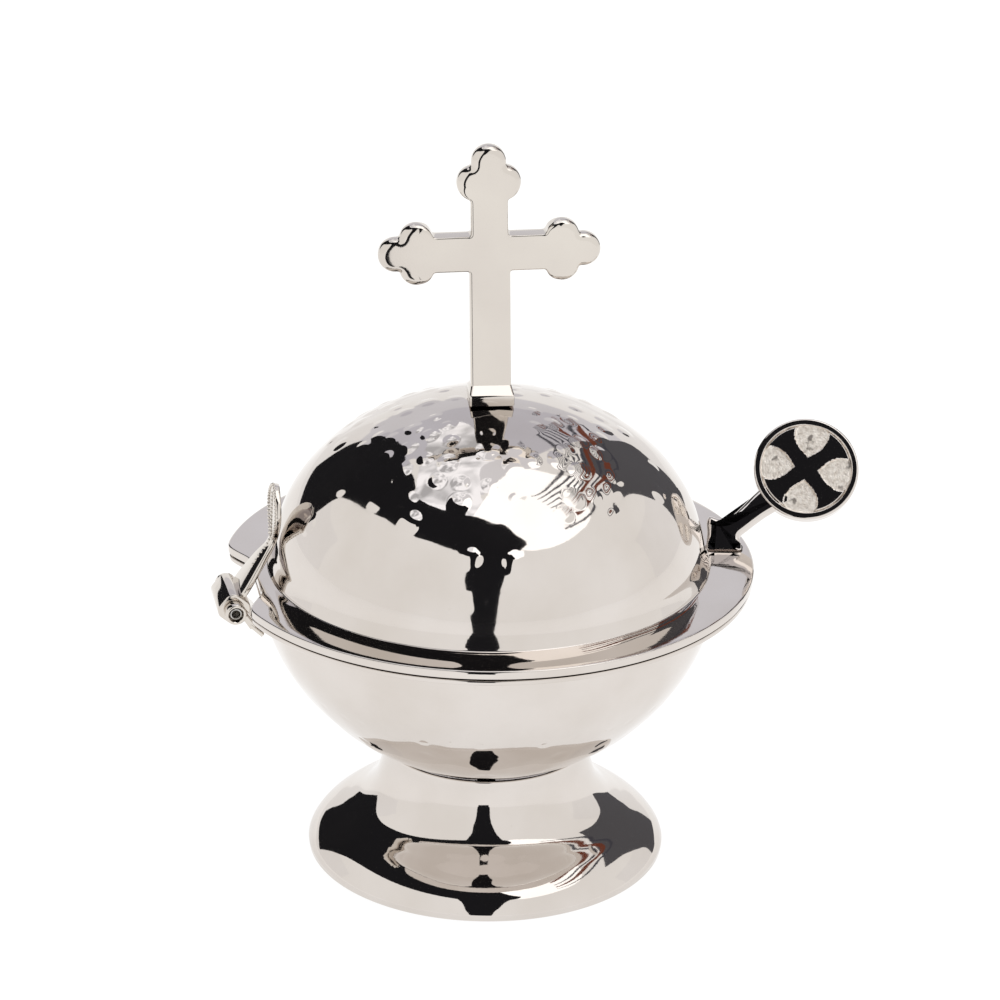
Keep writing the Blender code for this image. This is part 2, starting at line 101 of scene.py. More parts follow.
# Hinge: u is the distance out from the body axis, v runs along the pin towards the front.
HINGE_TURN = radians(11.5)
OUT = Vector((-cos(HINGE_TURN), -sin(HINGE_TURN), 0))
ALONG = Vector((sin(HINGE_TURN), -cos(HINGE_TURN), 0))
PIN_U = 56.4 * MM
PIN_Z = 62.8 * MM
PIN_R = 1.3 * MM
PIN_HALF = 8.4 * MM
BORE_R = PIN_R + GAP
EAR_R = 2.3 * MM
EAR_V = (6.4 * MM, 8.9 * MM)
EAR_EDGE = 0.35 * MM
EAR_ARM_HALF = 1.2 * MM
EAR_ARM_T = 1.5 * MM
KNUCKLE_R = 3.5 * MM
KNUCKLE_HALF = 6.0 * MM
KNUCKLE_EDGE = 0.3 * MM
KNUCKLE_FLAT = 0.88  # how near its flats are, as a share of its radius
KNUCKLE_TURN = radians(40)
LEAF_T = 0.9 * MM
LEAF_EDGE = 0.3 * MM
LEAF_ENDS = [(50.75, 57.6), (53.4, 60.2)]
NOTCH_FLOOR = (50.8 * MM, 9.2 * MM)
NOTCH_MOUTH = (58.5 * MM, 22.0 * MM)
NOTCH_SOFTNESS = 0.4 * MM
NOTCH_LIP_SOFTNESS = 1.3 * MM
NOTCH_SPAN = radians(40)  # no part of the notch is further round than this
NOTCH_FACING = 0.2  # its sides are met only by lines less askew than this
STRAP_T = 1.3 * MM
STRAP_STATIONS = [  # distance out, height and half width of the band, from the knuckle to the leaf's tip
    (55.0, 64.4, 5.0), (53.2, 67.0, 5.0), (50.2, 71.4, 3.6), (47.9, 74.6, 2.1), (47.0, 76.8, 2.1),
    (46.8, 79.0, 3.7), (46.7, 81.4, 5.2), (46.6, 83.6, 5.4), (46.5, 85.8, 4.4), (46.4, 87.6, 2.6),
    (46.3, 88.5, 1.0),
]
STRAP_EDGE = 0.4 * MM
LEAF_START_Z = 76.8 * MM
BEAD_EVERY = (0.8 * MM, 0.9 * MM)  # along the leaf's edge, up its middle
BEAD_RADIUS = (0.36 * MM, 0.4 * MM)
BEAD_INSET = 0.35 * MM

# Cross.
CROSS_Z = 138.6 * MM
CROSS_T = 4.2 * MM
CROSS_TURN = radians(5)
CROSS_LEAN = radians(1.1)
CROSS_FOOT = [(4.8, 4.3, 105.2), (4.8, 4.3, 107.3), (4.25, 2.0, 109.1)]  # half width, half depth, height
ARM_HALF = 3.9 * MM
POST_HALF = 4.3 * MM
CROSS_EDGE = 0.4 * MM
BUD_EDGE = 1.5 * MM
END_BUD = (19.8 * MM, 3.7 * MM)  # distance out, radius
SIDE_BUD = (15.4 * MM, 3.2 * MM, 3.6 * MM)  # distance out, distance across, radius
BUD_FROM = 12 * MM  # where the edge starts to get rounder, and how soon it is as round as a bud's
BUD_EASE = 2.5 * MM
BLOCK_CORNER = 0.5  # in mm, as CROSS_FOOT
NECK_SINK = 1.0 * MM
CROSS_BULGE = 0.14 * MM

# Lifter.
LIFTER_FOOT = AXIS + Vector((51.2 * MM, 7.5 * MM, LID_FLANGE_TOP + GAP))
LIFTER_TURN = radians(-1)
LIFTER_LEAN = radians(38.6)
LIFTER_T = 3.2 * MM
MEDALLION_AT = (18.05 * MM, 17.7 * MM)
MEDALLION_R = 11.5 * MM
MEDALLION_TURN = radians(-9)
PETAL = (2.7 * MM, 9.95 * MM, 3.7 * MM)  # a recess's tip and end, by distance out, and its half width
PETAL_WIDEST = 0.7  # share of the way out where it is widest
PETAL_STEP = 0.16 * MM
GROOVE_R = 9.85 * MM
GROOVE_HALF = 0.28 * MM
RELIEF = 0.55 * MM
RELIEF_GRAIN = 0.018 * MM
RIM_ROUND = 0.45 * MM
BACK_ROUND = 0.9 * MM
ARM_T = LIFTER_T - 0.5 * MM
ARM_EDGE = 1.0 * MM
ARM_BULGE = 0.1 * MM
ARM_LOWER = [(4.35, -1.5), (3.8, 1.0), (3.7, 2.3), (5.4, 3.8), (7.6, 5.6), (9.9, 7.3), (15.0, 10.5)]
ARM_UPPER = [
    (11.0, 16.0), (6.4, 11.6), (4.5, 9.5), (2.0, 7.1), (0, 6.2), (-1.5, 6.3), (-3.0, 6.7),
    (-3.6, 5.4), (-3.5, 3.0), (-3.9, -1.5),
]

# Hammering: dimples with a crisp rim, and a broad unevenness between them.
DIMPLE_R = 2.35 * MM
DIMPLE_DEPTH = 0.19 * MM
DIMPLE_EDGE = 0.09
DIMPLE_SPACING = 4.3 * MM
BOWL_DIMPLE_DEPTH = 0.19 * MM
FRONT_DIMPLES = [  # degrees round from the front, degrees of the dome's ellipse up, strength
    (-5, 29, 2.1), (7, 28, 2.1), (-3, 16, 0.5), (-26, 38, 2.3), (-11, 46, 1.8), (-63, 25, 1.6),
    (32, 45, 1.3), (70, 36, 1.2),
]
FRONT_SIZE = 1.05
DIMPLE_RINGS = [  # degrees of the dome's ellipse up, share of the places on the ring that have a dimple
    (79, 0.5), (72, 0.7), (66, 0.9), (60, 0.95), (54, 0.95), (48, 0.6), (42.5, 0.2), (37, 0.08),
    (30, 0.04), (22, 0.04),
]
BOWL_RINGS = [(29, 40, 0.42), (38, 18, 0.8), (52, 14, 1.0), (66, 8, 1.0)]  # degrees down, count, size
DOME_HAMMERED = (0.03, 0.12)  # shares of the dome's height: where the marks start, how soon they are full
DOME_ROUGHER = (0.3, 0.4)  # the same for the added unevenness at the top
DOME_WAVE = (10 * MM, 0.008 * MM, 0.022 * MM)  # length, height at the skirt, added height at the top
BOWL_WAVE = (10 * MM, 0.01 * MM, 0.045 * MM)  # the same, with the height added towards the foot
INSIDE_WAVE = (9 * MM, 0.03 * MM)
WAVES = 24


# ---- meshes


def turns(columns):
    """Even angles round a full turn."""
    return np.arange(columns) * 2 * pi / columns


def ramp(values, start, length):
    """0 up to the start, rising to 1 over the length."""
    return np.clip((values - start) / length, 0, 1)


def smooth(points, steps):
    """Points along a smooth curve through the given ones (Catmull-Rom), `steps` to each stretch."""
    p = np.array(points, float)
    ends = np.vstack([2 * p[0] - p[1], p, 2 * p[-1] - p[-2]])
    made = []
    for k in range(len(p) - 1):
        a, b, c, d = ends[k : k + 4]
        for t in np.arange(steps) / steps:
            bend = 2 * b + (c - a) * t + (2 * a - 5 * b + 4 * c - d) * t**2 + (3 * b - 3 * c + d - a) * t**3
            made.append(bend / 2)
    return np.array(made + [p[-1]])


def arc(centre, radius, start, end, steps):
    angles = np.linspace(start, end, steps)
    return np.stack([centre[0] + radius * np.cos(angles), centre[1] + radius * np.sin(angles)], 1)


def offset(points, distance):
    """An open outline moved sideways, to the right of its direction."""
    along = np.gradient(points, axis=0)
    along /= np.linalg.norm(along, axis=1)[:, None]
    return points + distance * np.stack([along[:, 1], -along[:, 0]], 1)


def volume(points, quads):
    a, b, c, d = (points[quads[:, k]] for k in range(4))
    return (np.cross(a, b) * c).sum() + (np.cross(a, c) * d).sum()


def add_object(name, data):
    made = bpy.data.objects.new(name, data)
    scene.collection.objects.link(made)
    return made


def add_mesh(name, points, faces):
    mesh = bpy.data.meshes.new(name)
    mesh.from_pydata(points.tolist(), [], faces)
    mesh.shade_smooth()
    return add_object(name, mesh)


def mesh_object(name, points, quads, others=(), sharp=40):
    """An object from points, four-cornered faces and a few others, turned so that its faces point out."""
    if volume(points, quads) < 0:
        quads = quads[:, ::-1]
        others = [face[::-1] for face in others]
    faces = [tuple(dict.fromkeys(q)) for q in quads.tolist()] + [tuple(f) for f in others]
    faces = [f for f in faces if len(f) > 2]
    used = np.unique(np.concatenate([np.array(f) for f in faces]))
    index = np.full(len(points), -1)
    index[used] = np.arange(len(used))
    made = add_mesh(name, points[used], [index[list(f)].tolist() for f in faces])
    made.data.set_sharp_from_angle(angle=radians(sharp))
    return made


def quads_of(rows, columns, ring):
    """Corner numbers of the faces between rows of points; each row closes on itself."""
    index = np.arange(rows * columns).reshape(rows, columns)
    low = index if ring else index[:-1]
    high = np.roll(index, -1, axis=0)[: len(low)]
    return np.stack([low, np.roll(low, -1, 1), np.roll(high, -1, 1), high], -1).reshape(-1, 4)


def shell(name, rows, ring=True, sharp=40):
    """A closed shell from (rows, columns, 3) points. With ring False its first and last rows are poles."""
    rows = np.array(rows, float)
    count, columns, _ = rows.shape
    quads = quads_of(count, columns, ring)
    if not ring:
        quads[quads < columns] = 0
        last = (count - 1) * columns
        quads[quads >= last] = last
    return mesh_object(name, rows.reshape(-1, 3), quads, sharp=sharp)


def loft(name, loops):
    """A closed solid from loops of points, with its two ends filled."""
    loops = np.array(loops, float)
    count, columns, _ = loops.shape
    ends = [list(range(columns))[::-1], list(range((count - 1) * columns, count * columns))]
    return mesh_object(name, loops.reshape(-1, 3), quads_of(count, columns, False), ends)


def sheet(name, rows):
    """An open sheet from (rows, columns, 3) points."""
    rows = np.array(rows, float)
    count, columns, _ = rows.shape
    quads = quads_of(count, columns, False).reshape(count - 1, columns, 4)[:, :-1]
    return add_mesh(name, rows.reshape(-1, 3), quads.reshape(-1, 4).tolist())


def join(name, pieces):
    """One object from several."""
    with bpy.context.temp_override(active_object=pieces[0], selected_editable_objects=pieces):
        bpy.ops.object.join()
    pieces[0].name = name
    pieces[0].data.name = name
    return pieces[0]


def about_axis(radius, height, angles):
    """Points about the body axis."""
    x = AXIS.x + radius * np.cos(angles)
    return np.stack(np.broadcast_arrays(x, radius * np.sin(angles), height), -1)


def turned_rows(profile, columns):
    """Rows of points from (radius, height) pairs."""
    profile = np.array(profile, float)
    return about_axis(profile[:, :1], profile[:, 1:], turns(columns))


def flange_edge(radius, angles):
    """The flange's outline with its notch for the hinge: a softened trapezoid cut into a circle."""
    (floor_u, floor_half), (mouth_u, mouth_half) = NOTCH_FLOOR, NOTCH_MOUTH
    slope = (mouth_half - floor_half) / (mouth_u - floor_u)
    turn = (angles - pi - HINGE_TURN + pi) % (2 * pi) - pi
    facing = slope * np.cos(turn) - np.abs(np.sin(turn))
    near = (np.abs(turn) < NOTCH_SPAN) & (facing > NOTCH_FACING)
    to_floor = floor_u / np.where(near, np.cos(turn), 1)
    to_side = (slope * floor_u - floor_half) / np.where(near, facing, 1)
    notch = np.logaddexp(to_floor / NOTCH_SOFTNESS, to_side / NOTCH_SOFTNESS)
    notch = np.where(near, notch, 2 * radius / NOTCH_SOFTNESS)
    notch *= NOTCH_SOFTNESS / NOTCH_LIP_SOFTNESS
    return -NOTCH_LIP_SOFTNESS * np.logaddexp(-radius / NOTCH_LIP_SOFTNESS, -notch)


def flange_rows(radius, low, high, top_r, under_r, columns, edge):
    """Rows from `top_r` out over the flange's top, round its edge, and back below to `under_r`."""
    angles = turns(columns)
    reach = flange_edge(radius, angles)
    spokes = np.stack([np.cos(angles), np.sin(angles)], 1)
    rim = spokes * reach[:, None]
    along = np.roll(rim, -1, 0) - np.roll(rim, 1, 0)
    out = np.stack([along[:, 1], -along[:, 0]], 1) / np.linalg.norm(along, axis=1)[:, None]
    inner = rim - out * edge
    centre = np.array([AXIS.x, 0])
    rows = []

    def add(flat, height):
        rows.append(np.column_stack([flat + centre, np.full(columns, height)]))

    across = np.linspace(0, 1, FLANGE_STEPS)
    quarter = np.linspace(0, pi / 2, FLANGE_STEPS)
    for t in across[:-1]:
        add(spokes * top_r * (1 - t) + inner * t, high)
    for a in quarter[::-1]:
        add(inner + out * edge * cos(a), high - edge * (1 - sin(a)))
    for a in quarter:
        add(inner + out * edge * cos(a), low + edge * (1 - sin(a)))
    for t in across[1:]:
        add(inner * (1 - t) + spokes * under_r * t, low)
    return rows


def waves(points, length, seed):
    """A smooth unevenness of about unit height and the given wavelength."""
    random = np.random.default_rng(seed)
    total = np.zeros(points.shape[:-1])
    for _ in range(WAVES):
        way = random.normal(size=3)
        way *= 2 * pi / length * random.uniform(0.7, 1.3) / np.linalg.norm(way)
        total += np.cos(points @ way + random.uniform(0, 2 * pi))
    return total / sqrt(WAVES / 2)


def dent(points, centres, radius, depth):
    """How far each point is pushed in by round dimples with a crisp rim."""
    total = np.zeros(points.shape[:-1])
    for centre, size, strength in centres:
        inside = 1 - ((points - centre) ** 2).sum(-1) / (radius * size) ** 2
        rounded = (inside + np.sqrt(inside**2 + DIMPLE_EDGE**2)) / 2
        total = np.maximum(total, depth * size * strength * rounded)
    return total


def push(rows, amounts):
    """Rows of points moved along the surface's own normal."""
    along = np.gradient(rows, axis=0)
    around = np.roll(rows, -1, 1) - np.roll(rows, 1, 1)
    normal = np.cross(around, along)
    normal /= np.maximum(np.linalg.norm(normal, axis=-1), 1e-12)[..., None]
    return rows + normal * amounts[..., None]


# ---- shells


def dome_profile(radius, height, first_z, last_r, steps):
    first = asin((first_z - LID_FLANGE_TOP) / height)
    angles = np.linspace(first, acos(last_r / radius), steps)
    rise = height * np.sin(angles)
    skirt = SKIRT_LEAN * np.maximum(SKIRT_RISE - rise, 0) ** 1.5 / SKIRT_RISE**0.5
    return np.stack([radius * np.cos(angles) + skirt, LID_FLANGE_TOP + rise], 1)


def bowl_profile(first_r, last_r, steps):
    first, last = (acos((r / BOWL_R) ** (1 / BOWL_POWER)) for r in (first_r, last_r))
    angles = np.linspace(first, last, steps)
    radius = BOWL_R * np.cos(angles) ** BOWL_POWER
    return np.stack([radius, BOWL_RIM_Z - BOWL_DEPTH * np.sin(angles) ** BOWL_POWER], 1)


def on_dome(azimuth, rise):
    """A point on the dome, by degrees round from the front and degrees of its ellipse up."""
    e = radians(rise)
    height = LID_FLANGE_TOP + DOME_HEIGHT * sin(e)
    return about_axis(DOME_R * cos(e), height, radians(azimuth - 90))


def dome_dimples():
    """Rows of hammer marks round the upper dome, fewer lower down, and the few clear ones at the front."""
    random = np.random.default_rng(7)
    chosen = [(on_dome(azimuth, rise), FRONT_SIZE, strength) for azimuth, rise, strength in FRONT_DIMPLES]
    for rise, keep in DIMPLE_RINGS:
        count = round(2 * pi * DOME_R * cos(radians(rise)) / (1.15 * DIMPLE_SPACING))
        for k in range(count):
            azimuth = 360 * (k + random.uniform(-0.3, 0.3)) / count
            place = on_dome(azimuth, rise + random.uniform(-2, 2))
            size = random.uniform(0.72, 1.08)
            spaced = all(np.linalg.norm(place - other) > DIMPLE_SPACING for other, _, _ in chosen)
            if random.uniform() < keep and spaced:
                chosen.append((place, size, random.uniform(0.8, 1.25)))
    return chosen


def make_lid(finish):
    columns = 540
    foot_of_dome = LID_FLANGE_TOP + DOME_FILLET
    outer = dome_profile(DOME_R, DOME_HEIGHT, foot_of_dome, HOLE_R, 130)[::-1]
    outer_rows = turned_rows(outer, columns)
    rise = (outer_rows[..., 2] - LID_FLANGE_TOP) / DOME_HEIGHT
    length, least, added = DOME_WAVE
    uneven = waves(outer_rows, length, 3) * (least + added * ramp(rise, *DOME_ROUGHER))
    marks = dent(outer_rows, dome_dimples(), DIMPLE_R, DIMPLE_DEPTH)
    outer_rows = push(outer_rows, -(marks + uneven) * ramp(rise, *DOME_HAMMERED))
    foot_r = outer[-1, 0] + DOME_FILLET
    fillet = arc((foot_r, foot_of_dome), DOME_FILLET, 1.1 * pi, 1.5 * pi, 6)[:-1]
    inner_r = DOME_R - DOME_WALL
    heights = (LID_LOW.z, LID_FLANGE_TOP)
    flange = flange_rows(LID_FLANGE_R, *heights, foot_r, inner_r, columns, LID_FLANGE_EDGE)
    inner = dome_profile(inner_r, DOME_HEIGHT - DOME_WALL, LID_FLANGE_TOP, HOLE_R, 16)
    rows = [*outer_rows, *turned_rows(fillet, columns), *flange, *turned_rows(inner, columns)]
    return dress(shell("lid_shell", rows), "lid", "lid", finish)


def bowl_dimples():
    random = np.random.default_rng(11)
    chosen = []
    for fall, count, size in BOWL_RINGS:
        for k in range(count):
            a = 2 * pi * (k + random.uniform(-0.2, 0.2)) / count
            e = radians(fall + random.uniform(-1.2, 1.2))
            flat = BOWL_R * cos(e) ** BOWL_POWER
            height = BOWL_RIM_Z - BOWL_DEPTH * sin(e) ** BOWL_POWER
            chosen.append((about_axis(flat, height, a - pi / 2), size, 1.0))
    return chosen


def make_bowl(finish):
    columns = 400
    low, high = BOWL_HIGH.z - BOWL_FLANGE_T, BOWL_HIGH.z
    top_r = BOWL_R - BOWL_TUCK
    outer_rows = turned_rows(bowl_profile(top_r, HOLE_R, 120), columns)
    depth = (BOWL_RIM_Z - outer_rows[..., 2]) / BOWL_DEPTH
    fade = ramp(depth, 0, 0.1) * ramp(1 - depth, 0, 0.12)
    length, least, added = BOWL_WAVE
    uneven = waves(outer_rows, length, 5) * (least + added * depth)
    marks = dent(outer_rows, bowl_dimples(), DIMPLE_R, BOWL_DIMPLE_DEPTH)
    outer_rows = push(outer_rows, (marks + uneven) * fade)
    inside = offset(bowl_profile(top_r, HOLE_R, 60), BOWL_WALL)
    inside[-1, 0] = HOLE_R
    inner_rows = turned_rows(inside[::-1], columns)
    radius = np.hypot(inner_rows[..., 0] - AXIS.x, inner_rows[..., 1])
    length, height = INSIDE_WAVE
    hammered = waves(inner_rows, length, 8) * ramp(radius, 10 * MM, 10 * MM)
    inner_rows = push(inner_rows, hammered * height)
    throat, root = BOWL_R - BOWL_WALL, BOWL_R + BOWL_ROOT
    flange = flange_rows(BOWL_FLANGE_R, low, high, throat, root, columns, BOWL_FLANGE_EDGE)
    corner = turned_rows([(BOWL_R + 0.1 * MM, low - 0.12 * MM)], columns)
    rows = [*inner_rows, *flange, *corner, *outer_rows]
    return dress(shell("bowl_shell", rows), "stand", "bowl", finish)


def make_foot(finish):
    columns = 320
    seat = bowl_profile(NECK_R - 0.5 * MM, HOLE_R, 22) - np.array([0, SEAT_GAP])
    top = seat[0]
    skin = smooth([(NECK_R / MM, top[1] / MM - 0.4)] + FOOT_OUTLINE, 9) * MM
    ripple = np.sin(skin[:, 1] / RIPPLE_PITCH * 2 * pi) * RIPPLE_HEIGHT
    skin[:, 0] += ripple * ramp(skin[:, 1], 8 * MM, 6 * MM)
    inside = offset(smooth(FOOT_OUTLINE, 5) * MM, FOOT_WALL)
    base = arc((FOOT_BASE_R + 0.05 * MM, BASE_ROUND), BASE_ROUND, 0, -pi / 2, 5)
    base = np.vstack([base, [(FOOT_BASE_R - FOOT_BASE_WIDTH, 0)]])
    keep = seat[:, 0] < NECK_R - 2.2 * FOOT_WALL
    under = seat[keep] - np.array([0, FOOT_WALL])
    lip = arc((NECK_R - LIP_ROUND, top[1] - LIP_ROUND), LIP_ROUND, radians(70), 0, 4)
    profile = np.vstack([seat[::-1], lip, skin[1:], base, inside[:-1][::-1], under])
    rows = turned_rows(profile, columns)
    return dress(shell("foot_shell", rows), "stand", "foot", finish)


def make_cup(finish):
    """A spun cup with a rolled lip and faint spinning rings."""
    columns = 200
    outline = smooth(CUP_OUTLINE, 12) * MM
    outline[:, 0] += CUP_RING_HEIGHT * np.sin(outline[:, 1] / CUP_RING_PITCH * 2 * pi)
    top = outline[-1]
    lip_r = CUP_WALL / 2
    lip_at = (top[0] + CUP_LIP - lip_r, top[1] + lip_r)
    lip = arc(lip_at, lip_r, -pi / 2, pi / 2, 9)
    inner_r, inner_z = top[0] - CUP_WALL, top[1] + CUP_WALL
    inner_top = [(inner_r + 0.4 * MM, inner_z), (inner_r, inner_z - 0.5 * MM)]
    inside = offset(outline[:-3], -CUP_WALL)[::-1]
    low = outline[0, 1]
    floor_out = [(0, low + 0.5 * MM), (4 * MM, low + 0.4 * MM), (11 * MM, low), (13.4 * MM, low)]
    floor_in = [(9 * MM, low + CUP_WALL), (3 * MM, low + CUP_WALL), (0, low + CUP_WALL)]
    profile = np.vstack([floor_out, outline, lip, inner_top, inside, floor_in])
    cup = shell("charcoal_cup_shell", turned_rows(profile, columns), ring=False)
    return dress(cup, "cup", "charcoal_cup", finish)


# ---- plates


def even(outline, spacing):
    """A closed outline resampled at an even spacing."""
    points = np.vstack([outline, outline[:1]])
    lengths = np.r_[0, np.cumsum(np.linalg.norm(np.diff(points, axis=0), axis=1))]
    count = round(lengths[-1] / spacing)
    at = np.arange(count) * lengths[-1] / count
    return np.stack([np.interp(at, lengths, points[:, k]) for k in (0, 1)], 1)


def soften(outline, rounds):
    """Takes the sharpness off the corners of a closed outline of even spacing."""
    for _ in range(rounds):
        outline = (2 * outline + np.roll(outline, 1, 0) + np.roll(outline, -1, 0)) / 4
    return outline


def rounded_plate(name, outline, place, across, upward, thick, edge, bulge):
    """A plate with rounded edges: outline points (a, b) lie at place + a across + b upward.

    `edge` is the rounding's radius, one for the whole outline or one for each of its points.
    `bulge` is how much lower the face is at its edge than inside.
    """
    edge = np.broadcast_to(edge, len(outline))
    area = (outline[:, 0] * np.roll(outline[:, 1], -1) - np.roll(outline[:, 0], -1) * outline[:, 1]).sum()
    if area < 0:
        outline, edge = outline[::-1], edge[::-1]
    along = np.roll(outline, -1, 0) - np.roll(outline, 1, 0)
    inward = np.stack([-along[:, 1], along[:, 0]], 1) / np.linalg.norm(along, axis=1)[:, None]
    normal = across.cross(upward).normalized()
    sag = bulge * edge / edge.max()
    full = np.full(len(edge), thick / 2)
    levels = [(1 - cos(a), thick / 2 - edge * (1 - sin(a))) for a in np.linspace(0, pi / 2, 9)]
    levels += [(1 + t, full) for t in (0.3, 0.6, 0.9)]
    levels = [(share, height - sag * (1 - share / 2) ** 2) for share, height in levels]
    levels.append((levels[-1][0] * 1.03, full))
    heights = [(share, -height) for share, height in reversed(levels)] + levels
    loops = []
    for share, height in heights:
        flat = outline + inward * (share * edge)[:, None]
        loops.append([place + across * a + upward * b + normal * h for (a, b), h in zip(flat, height)])
    return loft(name, loops)


def ring_profile(inner, outer, low, high, edge):
    """A ring's section with rounded outer edges."""
    a = arc((outer - edge, high - edge), edge, pi / 2, 0, 5)
    b = arc((outer - edge, low + edge), edge, 0, -pi / 2, 5)
    small = edge / 3
    inside = [(inner + small, low), (inner, low + small), (inner, high - small), (inner + small, high)]
    return np.vstack([a, b, inside])


def rounded_box(half_width, half_depth, corner, steps):
    """A rectangle's outline with rounded corners."""
    points = []
    for k, (a, b) in enumerate(((1, 1), (-1, 1), (-1, -1), (1, -1))):
        centre = (a * (half_width - corner), b * (half_depth - corner))
        points.extend(arc(centre, corner, pi / 2 * k, pi / 2 * (k + 1), steps))
    return points


def budded_end(turn):
    """The outline of one arm, anticlockwise, for an arm along `turn`: three buds at its end."""
    end_at, end_r = END_BUD
    side_at, side_across, side_r = SIDE_BUD
    leave = asin((ARM_HALF - side_across) / side_r)
    apart = hypot(end_at - side_at, side_across)
    towards = atan2(side_across, side_at - end_at)
    on_end = towards - acos((apart**2 + end_r**2 - side_r**2) / (2 * apart) / end_r)
    meeting = (end_at + end_r * cos(on_end), end_r * sin(on_end))
    on_side = atan2(meeting[1] - side_across, meeting[0] - side_at)
    steps = 24
    upper = arc((end_at, 0), end_r, 0, on_end, steps)
    upper = np.vstack([upper, arc((side_at, side_across), side_r, on_side, pi - leave, steps)[1:]])
    points = np.vstack([upper[:0:-1] * (1, -1), upper])
    turning = np.array([[cos(turn), sin(turn)], [-sin(turn), cos(turn)]])
    return points @ turning


def foot_block(turning):
    """The chamfered block at the foot of the cross, with its corners rounded."""
    loops = []
    low, edge, top = (np.array(station) for station in CROSS_FOOT)
    stations = [low + (edge - low) * share for share in (0, 0.1, 0.82, 0.94)]
    stations += [edge + (top - edge) * share for share in (0.06, 0.16, 0.95, 1)]
    for half_width, half_depth, height in stations:
        loop = rounded_box(half_width, half_depth, BLOCK_CORNER, 5)
        loops.append([AXIS + turning @ Vector((x, y, height)) * MM for x, y in loop])
    return loft("foot_block", loops)


def make_cross(finish):
    foot = CROSS_FOOT[0][2] * MM
    turning = Matrix.Rotation(CROSS_TURN, 3, "Z")
    leaning = turning @ Matrix.Rotation(-CROSS_LEAN, 3, "Y")
    across, upward = leaning @ Vector((1, 0, 0)), leaning @ UP
    right, top, left = (budded_end(turn) for turn in (0, pi / 2, pi))
    neck = CROSS_FOOT[-1][2] * MM - NECK_SINK - CROSS_Z
    low = [(-POST_HALF, -ARM_HALF), (-POST_HALF, neck), (POST_HALF, neck), (POST_HALF, -ARM_HALF)]
    outline = np.vstack([right, [(ARM_HALF, ARM_HALF)], top, [(-ARM_HALF, ARM_HALF)], left, low])
    outline = soften(even(outline, 0.3 * MM), 3)
    place = AXIS + UP * foot + upward * (CROSS_Z - foot)
    # The buds were polished rounder than the arms.
    reach = np.maximum(np.abs(outline[:, 0]), outline[:, 1])
    edge = CROSS_EDGE + (BUD_EDGE - CROSS_EDGE) * ramp(reach, BUD_FROM, BUD_EASE)
    plate = rounded_plate("cross_plate", outline, place, across, upward, CROSS_T, edge, CROSS_BULGE)
    cross = join("cross_cast", [plate, foot_block(turning)])
    return dress(cross, "lid", "cross", finish)


# ---- lifter


def medallion_height(radius, angle):
    """The relief: 0 in the recesses, 1 on the rim and on the cross between four pointed recesses."""
    folded = np.abs((angle - MEDALLION_TURN + pi / 4) % (pi / 2) - pi / 4)
    out, across = radius * np.cos(folded), radius * np.sin(folded)
    tip, end, half = PETAL
    share = ramp(out, tip, end - tip)
    opening = 1 - (1 - ramp(share, 0, PETAL_WIDEST)) ** 2
    closing = np.sqrt(1 - 0.8 * ramp(share, PETAL_WIDEST, 1 - PETAL_WIDEST) ** 3)
    edge = half * opening * closing
    in_petal = ramp(edge, across, PETAL_STEP) * ramp(end, radius, PETAL_STEP)
    in_groove = 1 - ramp(np.abs(radius - GROOVE_R), 0, GROOVE_HALF)
    sunk = np.maximum(in_petal, in_groove * 0.8)
    return 1 - sunk * sunk * (3 - 2 * sunk)


def make_lifter(finish):
    across = Vector((cos(LIFTER_TURN), sin(LIFTER_TURN), 0))
    back = Vector((-sin(LIFTER_TURN), cos(LIFTER_TURN), 0))
    upward = UP * cos(LIFTER_LEAN) + back * sin(LIFTER_LEAN)
    normal = across.cross(upward).normalized()
    lower, upper = smooth(ARM_LOWER, 8), smooth(ARM_UPPER, 8)
    outline = soften(even(np.vstack([lower, upper]) * MM, 0.25 * MM), 2)
    arm = rounded_plate("arm", outline, LIFTER_FOOT, across, upward, ARM_T, ARM_EDGE, ARM_BULGE)
    for vert in arm.data.vertices:  # the foot stands level on the flange
        vert.co += upward * max(LIFTER_FOOT.z - vert.co.z, 0) / upward.z
    centre = LIFTER_FOOT + across * MEDALLION_AT[0] + upward * MEDALLION_AT[1]
    columns = 288
    angles = turns(columns)
    front_r = np.r_[0, np.linspace(0.3, 9.4, 60), np.linspace(9.5, 10.4, 11), 10.9] * MM
    half_t = LIFTER_T / 2
    rim_centre = (MEDALLION_R - RIM_ROUND, half_t - RIM_ROUND)
    rim = arc(rim_centre, RIM_ROUND, radians(82), radians(-15), 12)
    behind = arc((MEDALLION_R - BACK_ROUND, BACK_ROUND - half_t), BACK_ROUND, 0, -pi / 2, 8)
    back = [(r * MM, -half_t) for r in (*np.linspace(9.0, 1.0, 9), 0)]
    random = np.random.default_rng(21)
    rows, recess = [], []
    for r in front_r:
        relief = medallion_height(r, angles)
        rough = random.normal(size=columns) * RELIEF_GRAIN
        rough = (rough + np.roll(rough, 1) + np.roll(rough, -1)) / 2
        rows.append((r, half_t - (RELIEF - rough * (r > 0)) * (1 - relief)))
        recess.append(1 - relief)
    for r, h in np.vstack([rim, behind, back]):
        rows.append((r, h))
        recess.append(np.zeros(columns))
    grid = []
    for r, h in rows:
        flat = np.outer(r * np.cos(angles), across) + np.outer(r * np.sin(angles), upward)
        grid.append(np.array(centre) + flat + np.outer(h, normal))
    disc = shell("medallion", grid, ring=False, sharp=60)
    values = np.concatenate([recess[0][:1], *recess[1:-1], recess[-1][:1]])
    layer = disc.data.attributes.new("recess", "FLOAT", "POINT")
    layer.data.foreach_set("value", values.astype(np.float32))
    lifter = join("lifter_cast", [disc, arm])
    return dress(lifter, "lid", "lifter", finish)


# ---- hinge


def hinge_point(u, v, z):
    return AXIS + OUT * u + ALONG * v + UP * z


